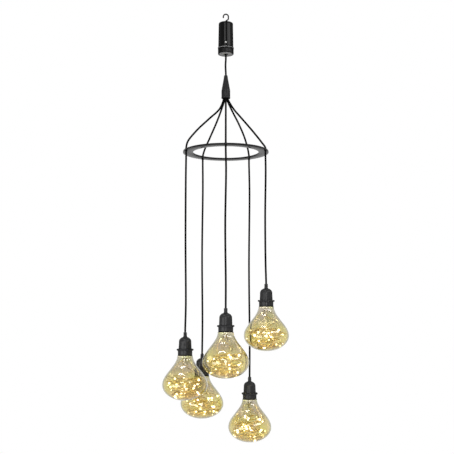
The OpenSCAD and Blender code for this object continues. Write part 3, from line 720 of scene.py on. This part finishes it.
def make_case():
    """The tube with its fine lines, band and threaded neck, a grey ring at the band's foot that is
    partly a parting line and partly a painted highlight, and the button in its recess.
    """
    black = FINISHES["case_black"]
    rim_w, rim_h = 5.4, 2.6
    rim = [(13 + rim_w * s, CASE_TOP_Z - rim_h + rim_h * c) for s, c in quarter(9)]
    wall = [(18.42, -25.9), (18.17, -26.15), (18.17, -26.55), (18.44, -26.8), (19.36, -86.0),
            (19.1, -86.3), (19.1, -86.9), (CASE_BASE_R, BAND_TOP_Z), (20.2, BAND_TOP_Z),
            (BAND_R, -87.9), (BAND_R, -90.1), (20.2, BAND_FOOT_Z), (NECK_R, BAND_FOOT_Z),
            (NECK_R, -91.3), (17.3, -91.3), (17.3, THREAD_TOP_Z)]
    root = NECK_R - 0.3
    thread = [(r, THREAD_TOP_Z - THREAD_STEP * k)
              for k, r in enumerate((root, NECK_R, NECK_R, root) * 2 + (root,))]
    foot = [(root, -98.2), (17.7, CASE_FOOT_Z), (CASE_BORE_R, CASE_FOOT_Z), (CASE_BORE_R, -25),
            (HOOK_HOLE_R, -25)]
    outline = [(HOOK_HOLE_R, CASE_TOP_Z)] + rim + wall + thread + foot
    shell = finished("case_shell", turned(outline, 160, 0.12))
    # A grey ring at the band's foot: partly a moulded parting line, partly a painted highlight
    # along the band's edge.
    edge = [(20.3, -89.5), (20.65, -89.5), (20.8, -89.7), (20.8, -90.2), (20.6, -90.45),
            (20.3, -90.45)]
    dress(finished("band_edge", turned(edge, 160, 0.08)), "case", "case_black",
          FINISHES["grey_and_painted_highlight"])
    front = Matrix.Translation((0, 0, BUTTON_Z)) @ Matrix.Rotation(math.radians(90), 4, "X")
    cut_from(shell, rod("recess_cutter", BUTTON_RECESS_R, 17.8, 26, front, 64),
             rod("hole_cutter", BUTTON_HOLE_R, 10, 26, front, 48))
    dress(shell, "case", "case_black", black, "case_tube")

    face = [(0, 14.8), (3.5, 14.8), (3.5, 15.6), (BUTTON_R, 15.6), (BUTTON_R, BUTTON_FACE)]
    face += [(BUTTON_R * c, BUTTON_FACE + 0.7 * s) for s, c in quarter(15, 15)]
    button = finished("button_cap", turned(face, 64, 0.1, False), front)
    dress(button, "button", "button_white", FINISHES["button_white"], "push_button")
    collar = [(2.75, 17.75), (4.4, 17.75), (4.4, 18.25), (4.1, 18.6), (3.1, 18.6), (2.75, 18.3)]
    dress(finished("button_collar", turned(collar, 64, 0.08), front), "case", "seal_rubber",
          FINISHES["seal_rubber"])


def make_base():
    """The fluted screw cap, its grey plate, partly a painted highlight, and the strain relief that
    the cable leaves by.
    """
    profile = [(18.95, CAP_TOP_Z), (19.7, CAP_TOP_Z), (CAP_R, -91), (CAP_R, -93.7),
               (CAP_R, -94.3), (CAP_R, -103.4), (CAP_R, -104), (19.8, -104.7),
               (19.1, CAP_FOOT_Z), (18.1, CAP_FOOT_Z), (17.5, -104.4), (8.2, -104.4),
               (7.9, -104.7), (5.2, -104.7), (4.9, -104.4), (2.95, -104.4), (2.95, -102.8),
               (16.9, -102.8), (16.9, -101.5), (18.3, -101.5), (18.3, -93.3), (18.95, -92.7)]
    flutes, steps_per_flute, flute_depth = 36, 6, 0.45
    bm = turned(profile, flutes * steps_per_flute, 0.1)
    for v in bm.verts:
        if -103.5 < v.co.z < -94.2 and math.hypot(v.co.x, v.co.y) > CAP_R - 0.05:
            wave = math.cos(flutes * math.atan2(v.co.y, v.co.x))
            inward = 1 - flute_depth * max(0, -wave) ** 0.8 / CAP_R
            v.co.x, v.co.y = v.co.x * inward, v.co.y * inward
    dress(finished("cap_shell", bm, None, 50), "base", "case_black", FINISHES["case_black"],
          "base_cap")
    # A grey plate under the cap: its paleness is partly a painted highlight on the cap's underside.
    plate = [(5.4, -104.3), (17.2, -104.3), (17.2, -104.6), (17.0, -104.8), (5.6, -104.8),
             (5.4, -104.6)]
    dress(finished("base_plate", turned(plate, 128, 0.08)), "base", "case_black",
          FINISHES["grey_and_painted_highlight"])
    gland = [(2.1, GLAND_FOOT_Z), (2.4, GLAND_FOOT_Z), (2.6, -107.7), (2.65, -107.1),
             (2.4, -106.9), (2.45, -106.5), (2.9, -106.4), (2.95, -105.9), (2.65, -105.7),
             (2.7, -105.4), (3.35, -105.2), (3.4, -104.45), (2.9, -104.4), (2.9, -102.75),
             (4.4, -102.75), (4.4, -101.7), (2.1, -101.7)]
    dress(finished("gland_shape", turned(gland, 64, 0.08)), "base", "cable_black",
          FINISHES["cable_black"], "cable_gland")


def spring_line(height, wide, narrow, turns, wire):
    """A cone-shaped coil upwards from zero, between two radii."""
    per_turn = 24
    line = []
    for k in range(turns * per_turn + 1):
        share = k / (turns * per_turn)
        a, r = math.tau * turns * share, wide + (narrow - wide) * share
        line.append(Vector((math.cos(a) * r, math.sin(a) * r, wire / 2 + (height - wire) * share)))
    return line


def make_springs():
    """The springs at the cells and at the slip contact, in place of the coarse ones."""
    zinc = FINISHES["zinc_steel"]
    cell_circle = CELL_PITCH / (2 * math.sin(math.radians(60)))
    cell_foot_z, cell_top_z = -87.775, -32.825
    coil = spring_line(4, 4.6, 2.2, 3, 0.5)
    lines = []
    for azimuth, pip_up in ((60, True), (180, False), (-60, True)):
        spot = radial(azimuth, cell_circle, cell_foot_z if pip_up else cell_top_z)
        lines.append([spot + Vector((p.x, p.y, p.z if pip_up else -p.z)) for p in coil])
    dress(wire_mesh("cell_springs", lines, 0.25, 2), "cartridge", "zinc_steel", zinc,
          "contact_springs")
    seat = Vector((0, 0, -99.85))
    line = [seat + p for p in spring_line(9.95, 5, 2.5, 5, 0.7)]
    dress(wire_mesh("slip_spring", [line], 0.35, 2), "base", "zinc_steel", zinc, "base_spring")


# Splitter and ring

def make_splitter():
    outline = [(2.3, SPLITTER_TOP_Z), (4.2, SPLITTER_TOP_Z), (4.7, -161.5), (4.75, -163.6),
               (4.4, -163.9), (4.4, -164.5), (4.9, -164.8), (5.8, -171.2), (10.7, -198.5),
               (11.0, -200.2), (11.1, -202.0), (11.1, -216.4), (10.85, -216.6), (10.85, -217.0),
               (SPLITTER_R, -217.3), (SPLITTER_R, -220.5), (10.8, SPLITTER_FOOT_Z),
               (9.5, SPLITTER_FOOT_Z), (9.5, -200.0), (4.0, -171.2), (2.3, -171.2)]
    shell = finished("splitter_shape", turned(outline, 128, 0.15), None, 40)
    dress(shell, "pendant", "splitter_black", FINISHES["splitter_black"], "splitter_shell")


def make_ring():
    """The flat ring with its five holes, and a rubber grommet in each."""
    section = [(RING_IN_R, RING_FOOT_Z), (RING_OUT_R, RING_FOOT_Z), (RING_OUT_R, RING_TOP_Z),
               (RING_IN_R, RING_TOP_Z)]
    ring = finished("ring_shape", turned(section, 256, 0.7))
    low, high = RING_FOOT_Z - 2.6, RING_TOP_Z + 2.6
    cut_from(ring, *(rod(f"hole_{i}", RING_HOLE_R, low, high, hole_place(i), 40) for i in LAMPS))
    dress(ring, "pendant", "ring_black", FINISHES["ring_black"], "spreader_ring")
    section = [(2.1, GROMMET_FOOT_Z), (3.2, GROMMET_FOOT_Z), (3.6, -363.1), (3.7, -362.45),
               (2.9, -362.45), (2.9, -358.55), (3.7, -358.55), (3.6, -357.9), (3.2, -357.4),
               (2.1, -357.4)]
    rubber = joined("grommet_rubber", *(finished(f"grommet_{i}", turned(section, 48, 0.12),
                                                 hole_place(i)) for i in LAMPS))
    dress(rubber, "pendant", "seal_rubber", FINISHES["seal_rubber"], "ring_grommets")


# Lamps

def globe_outline(neck_r, belly_r, depth):
    """A globe's outline from its rim to its pole: a flared neck and the foot of an ellipse."""
    neck_steps, belly_steps = 36, 28
    p = [Vector(c) for c in ((neck_r, 0), (neck_r + 0.4, -25), (belly_r, 26 - GLOBE_BELLY),
                             (belly_r, -GLOBE_BELLY))]
    line = []
    for k in range(neck_steps + 1):
        t = k / neck_steps
        s = 1 - t
        line.append(tuple(p[0] * s ** 3 + p[1] * 3 * t * s ** 2 + p[2] * 3 * t * t * s
                          + p[3] * t ** 3))
    for k in range(1, belly_steps):
        a = math.radians(90 * k / belly_steps)
        line.append((belly_r * math.cos(a), -GLOBE_BELLY - (depth - GLOBE_BELLY) * math.sin(a)))
    return line + [(0, -depth)]


INNER_OUTLINE = globe_outline(GLOBE_NECK_R - GLOBE_WALL, GLOBE_R - GLOBE_WALL,
                              GLOBE_H - GLOBE_WALL)


def room_at(height):
    """The inside radius of a globe at a height below its rim."""
    for (r1, z1), (r2, z2) in zip(INNER_OUTLINE, INNER_OUTLINE[1:]):
        if z1 >= height >= z2:
            return r1 + (r2 - r1) * (z1 - height) / max(z1 - z2, 1e-6)
    return 0


def within(point, clearance):
    """A point kept inside its globe, clear of the wall and of the pole."""
    z = max(point.z, clearance - GLOBE_H + 3)
    reach, limit = math.hypot(point.x, point.y), room_at(z) - clearance
    shrink = min(1, limit / max(reach, 1e-6))
    return Vector((point.x * shrink, point.y * shrink, z))


def light_line(i):
    """The wound light wire: down from the plug, then tilted uneven turns heaped in the belly.

    From the plug on, fill rises from 0 to 1 over the first share of the wire. The sines after it
    make the turns uneven in height, width, tilt and place, and differ from lamp to lamp.
    """
    turns, per_turn, clearance, first_share = 17, 60, 3.5, 0.14
    line = [Vector((0, 0, PLUG_FOOT_Z)), Vector((0, 0, PLUG_FOOT_Z - 2.5))]
    for k in range(turns * per_turn + 1):
        u = k / (turns * per_turn)
        a, slow = math.tau * turns * u + i * 1.3, math.tau * u
        fill = 1 - (1 - min(1, u / first_share)) ** 2
        height = -7 - 69 * fill - fill * 21 * math.sin(1.75 * slow - 0.3)
        r = 2.5 + fill * (31 + 8 * math.sin(5.3 * slow + i) + 6 * math.sin(0.31 * a + 2 * i))
        lean = fill * (0.14 + 0.16 * math.sin(3.7 * slow + 0.8 * i))
        z = height + r * lean * math.cos(a + 9.1 * u + i) + 1.5 * fill * math.sin(2.3 * a)
        aside = Vector((7 * math.sin(4.1 * slow + i), 7 * math.cos(2.9 * slow + 1.7 * i), 0))
        spot = Vector((r * math.cos(a), r * math.sin(a), z)) + aside * fill
        line.append(within(spot, clearance))
    return evenly(line, LIGHT_STEP)


def feed_lines(i, count=12):
    """Fine feed wires that fan out from the plug along the neck and run into the heap below."""
    fan = []
    for n in range(count):
        a = math.tau * (n + 0.35 * math.sin(2.7 * n + i)) / count
        depth, turn = 46 + 5 * math.sin(1.9 * n + i), 0.5 * math.sin(3.1 * n + 2 * i)
        route = [Vector((2.2 * math.cos(a), 2.2 * math.sin(a), PLUG_FOOT_Z))]
        for share, out in ((0.15, 0.36), (0.35, 0.80), (0.6, 0.9), (0.8, 0.88), (1.0, 0.78)):
            b, z = a + turn * share, PLUG_FOOT_Z - (depth + PLUG_FOOT_Z) * share
            r = (room_at(z) - 2) * out
            route.append(Vector((r * math.cos(b), r * math.sin(b), z)))
        fan.append(smooth_route(route, 1.5))
    return fan


def strands(line, gap, pitch):
    """Two wires twisted round a line, a gap from it and with one turn in a pitch."""
    pair = ([], [])
    for k, p in enumerate(line):
        along = (line[min(k + 1, len(line) - 1)] - line[max(k - 1, 0)]).normalized()
        side = along.cross(UP).normalized() if abs(along.z) < 0.99 else Vector((1, 0, 0))
        turn = math.tau * k * LIGHT_STEP / pitch
        offset = gap * (math.cos(turn) * side + math.sin(turn) * along.cross(side))
        pair[0].append(p + offset)
        pair[1].append(p - offset)
    return pair


def light_drops(name, line, place, count=24):
    """Drops of resin along the wire, each a round body drawn out to a point at both ends."""
    bm = bmesh.new()
    for n in range(count):
        k = round((0.05 + 0.94 * n / (count - 1)) * (len(line) - 2))
        along = (line[k + 1] - line[k]).normalized()
        turn = along.to_track_quat("Z", "Y").to_matrix().to_4x4()
        drop = bmesh.ops.create_uvsphere(bm, u_segments=14, v_segments=10, radius=1)["verts"]
        girth = 2.05 + 0.85 * math.sin(2.3 * n)
        for v in drop:
            waist = 1 - 0.35 * abs(v.co.z) ** 3
            v.co = (v.co.x * girth * waist, v.co.y * girth * waist, v.co.z * (1.4 * girth))
        bmesh.ops.transform(bm, matrix=Matrix.Translation(line[k]) @ turn, verts=drop)
    return finished(name, bm, place, 80)


def make_holder(i, body, place):
    """The cable holder: a ribbed boot and domed body, a flanged skirt, a seal and a cream liner,
    whose band at the glass rim is partly a painted highlight.
    """
    black = FINISHES["holder_black"]
    boot = [(2.1, 0), (3.8, 0), (4.35, -0.4), (4.5, -1.5), (3.8, -1.75), (3.8, -2.75),
            (4.5, -3.0), (4.55, -4.3), (3.85, -4.55), (3.85, -5.55), (4.55, -5.8), (4.6, -7.1),
            (3.9, -7.35), (3.9, -8.35), (4.6, -8.6), (4.6, -10.2), (4.95, -11.0)]
    angles = [math.radians(t) for t in range(67, 3, -4)]
    dome = [(15 * math.cos(t), -SHOULDER + 11.5 * math.sin(t)) for t in angles]
    inside = [(15, -SHOULDER), (15.72, -39.1), (15.35, -FLANGE), (13.1, -FLANGE),
              (13.1, -SHOULDER), (11, -16.8), (3.2, -12.7), (2.1, -12.7)]
    cap = finished(f"holder_body_{i}", turned(boot + dome + inside, 96, 0.15), place, 40)
    dress(cap, body, "holder_black", black, f"holder_cap_{i}")

    skirt = [(11.1, -29.6), (13.05, -29.6), (13.05, -39.55), (19.2, -39.55), (20.1, -39.95),
             (20.5, -40.9), (20.5, -42.3), (20.1, -43.3), (19.2, -SKIRT), (17.5, -SKIRT),
             (17.5, -53.3), (17.2, -53.6), (16.8, -53.6), (16.8, -55.5), (17.5, -55.65),
             (17.5, -58.3), (17.2, -SPIGOT), (11.1, -SPIGOT)]
    shell = finished(f"holder_collar_{i}", turned(skirt, 96, 0.15), place, 40)
    dress(shell, body, "holder_black", black, f"holder_skirt_{i}")

    seal = [(16.85, -53.65), (17.4, -53.65), (17.65, -53.9), (17.65, -55.4), (17.4, -55.65),
            (16.85, -55.65)]
    dress(finished(f"neck_seal_{i}", turned(seal, 96, 0.12), place), body, "seal_rubber",
          FINISHES["seal_rubber"])
    # Cream liner at the glass rim: its pale band is partly the cream part and partly a painted
    # highlight, for the rim's bright reflection.
    liner = [(17.25, -55.75), (17.55, -55.75), (17.55, -59.4), (17.2, -59.7), (12, -59.7),
             (12, -58.75), (17.25, -58.75)]
    dress(finished(f"neck_liner_and_highlight_{i}", turned(liner, 96, 0.06), place), body, "plug_cream",
          FINISHES["plug_cream"])


def set_in(place, lines):
    """Lines of points, moved to their lamp."""
    return [[place @ p for p in line] for line in lines]


def make_lamp(i):
    body, place = f"lamp_{i}", lamp_place(i)
    make_holder(i, body, place)

    rim_place = place @ Matrix.Translation((0, 0, -RIM))
    wall = globe_outline(GLOBE_NECK_R, GLOBE_R, GLOBE_H)[::-1] + INNER_OUTLINE
    glass = unwrapped(turned(wall, 128, 0.35, False), 0, -GLOBE_H)
    dress(finished(f"glass_{i}", glass, rim_place, 60), body, "globe_glass",
          FINISHES["globe_glass"], f"globe_{i}")

    line = light_line(i)
    feeds = feed_lines(i)
    copper_r, silver_r = 0.55, 0.9
    copper = set_in(rim_place, (*strands(line, 0.6, 9), *feeds[1::3]))
    dress(wire_mesh(f"copper_wire_{i}", copper, copper_r, 1), body, "light_copper",
          FINISHES["light_copper"], f"light_wire_{i}")
    silver = set_in(rim_place, feeds[0::3] + feeds[2::3])
    dress(wire_mesh(f"feed_wires_{i}", silver, silver_r, 1), body, "light_copper",
          FINISHES["feed_silver"])
    dress(light_drops(f"light_drops_{i}", line, rim_place), body, "light_copper", LIGHT_DROP)


def finish_cad_nodes():
    """Gives the CAD nodes that stay in sight, mostly inside the case, their finishes."""
    kept = {"hook_washer": "zinc_steel", "hook_nut": "zinc_steel", "case_seal": "seal_rubber",
            "cell_cage": "cage_black", "battery_cells": "cell_wrap",
            "contact_plates": "contact_brass", "timer_board": "board_green",
            "tact_switch": "zinc_steel", "base_board": "board_green",
            "splitter_plug": "splitter_black"}
    kept.update({f"wire_plug_{i}": "plug_cream" for i in LAMPS})
    for node, finish in kept.items():
        for material_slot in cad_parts[node].material_slots:
            material_slot.material = FINISHES[finish]


# Floor and light

def shown_white(tree, share):
    """The share of plain white in what the camera sees, straight, mirrored or through glass."""
    path = tree.nodes.new("ShaderNodeLightPath")
    bent = calculated(tree, "MAXIMUM", path.outputs["Is Glossy Ray"],
                      path.outputs["Is Transmission Ray"])
    seen = calculated(tree, "MAXIMUM", path.outputs["Is Camera Ray"], bent)
    return calculated(tree, "MULTIPLY", seen, share)


def make_floor():
    """A pale floor that fades into the white around it."""
    bm = bmesh.new()
    bmesh.ops.create_grid(bm, x_segments=8, y_segments=8, size=7000)
    floor = finished("floor", bm, Matrix.Translation((0, 0, -1500)))
    material, tree, shader = new_material("floor_pale", Base_Color=(0.9, 0.9, 0.9), Roughness=0.9,
                                          Specular_IOR_Level=0.1)
    away = tree.nodes.new("ShaderNodeVectorMath")
    away.operation = "LENGTH"
    link(tree, own_coords(tree), away.inputs[0])
    fade = spread(tree, away.outputs["Value"], 1.5, 2.4)
    near_white = 0.86
    share = calculated(tree, "ADD", near_white, calculated(tree, "MULTIPLY", fade, 1 - near_white))
    mixed_surface(tree, shown_white(tree, share), shader, tree.nodes.new("ShaderNodeEmission"))
    floor.data.materials.append(material)


def make_room():
    """Soft light from all round, shown as plain white."""
    world = bpy.data.worlds.new("studio")
    bpy.context.scene.world = world
    world.use_nodes = True
    tree = world.node_tree
    background = tree.nodes["Background"]
    background.inputs["Color"].default_value = (1, 1, 1, 1)
    room_light = 0.45
    link(tree, calculated(tree, "ADD", room_light, shown_white(tree, 1 - room_light)),
         background.inputs["Strength"])


def softbox(name, place, aim, width, height, glow, turn=0):
    """A rectangular lamp, turned on its own axis. A glow of 1 makes its face plain white."""
    data = bpy.data.lights.new(name, "AREA")
    data.shape = "RECTANGLE"
    data.size, data.size_y = width, height
    data.energy = glow * math.pi * width * height
    lamp = in_scene(name, data)
    lamp.location = place
    facing = (Vector(aim) - Vector(place)).to_track_quat("-Z", "Y").to_matrix()
    lamp.rotation_euler = (facing @ Matrix.Rotation(math.radians(turn), 3, "Z")).to_euler()


def light_stage():
    """Softboxes for the highlights on the globes, the case and the ring. Places are in metres."""
    softbox("front_tall", (-0.02, -3.2, -0.5), (0, 0, -0.8), 0.5, 2.2, 12)
    softbox("front_high", (-0.75, -2.9, 1.03), (0, 0, -0.1), 1.1, 0.5, 12)
    softbox("left_wide", (-2.1, -2.1, -0.9), (0, 0, -0.8), 2.2, 1.0, 6)
    softbox("right_high", (2.2, -2.0, 1.05), (0, 0, -0.05), 2.8, 0.5, 11)
    softbox("overhead_long", (-0.65, -0.78, 1.25), (-0.65, -0.73, -0.8), 1.3, 0.09, 26, -20)
    softbox("back_high", (0.5, 2.4, 1.8), (0, 0, -0.5), 1.6, 0.8, 6)


place_camera()
lay_cables()
make_hook()
make_case()
make_base()
make_springs()
make_splitter()
make_ring()
for number in LAMPS:
    make_lamp(number)
finish_cad_nodes()
make_floor()
make_room()
light_stage()
bpy.context.scene.view_settings.view_transform = "Standard"
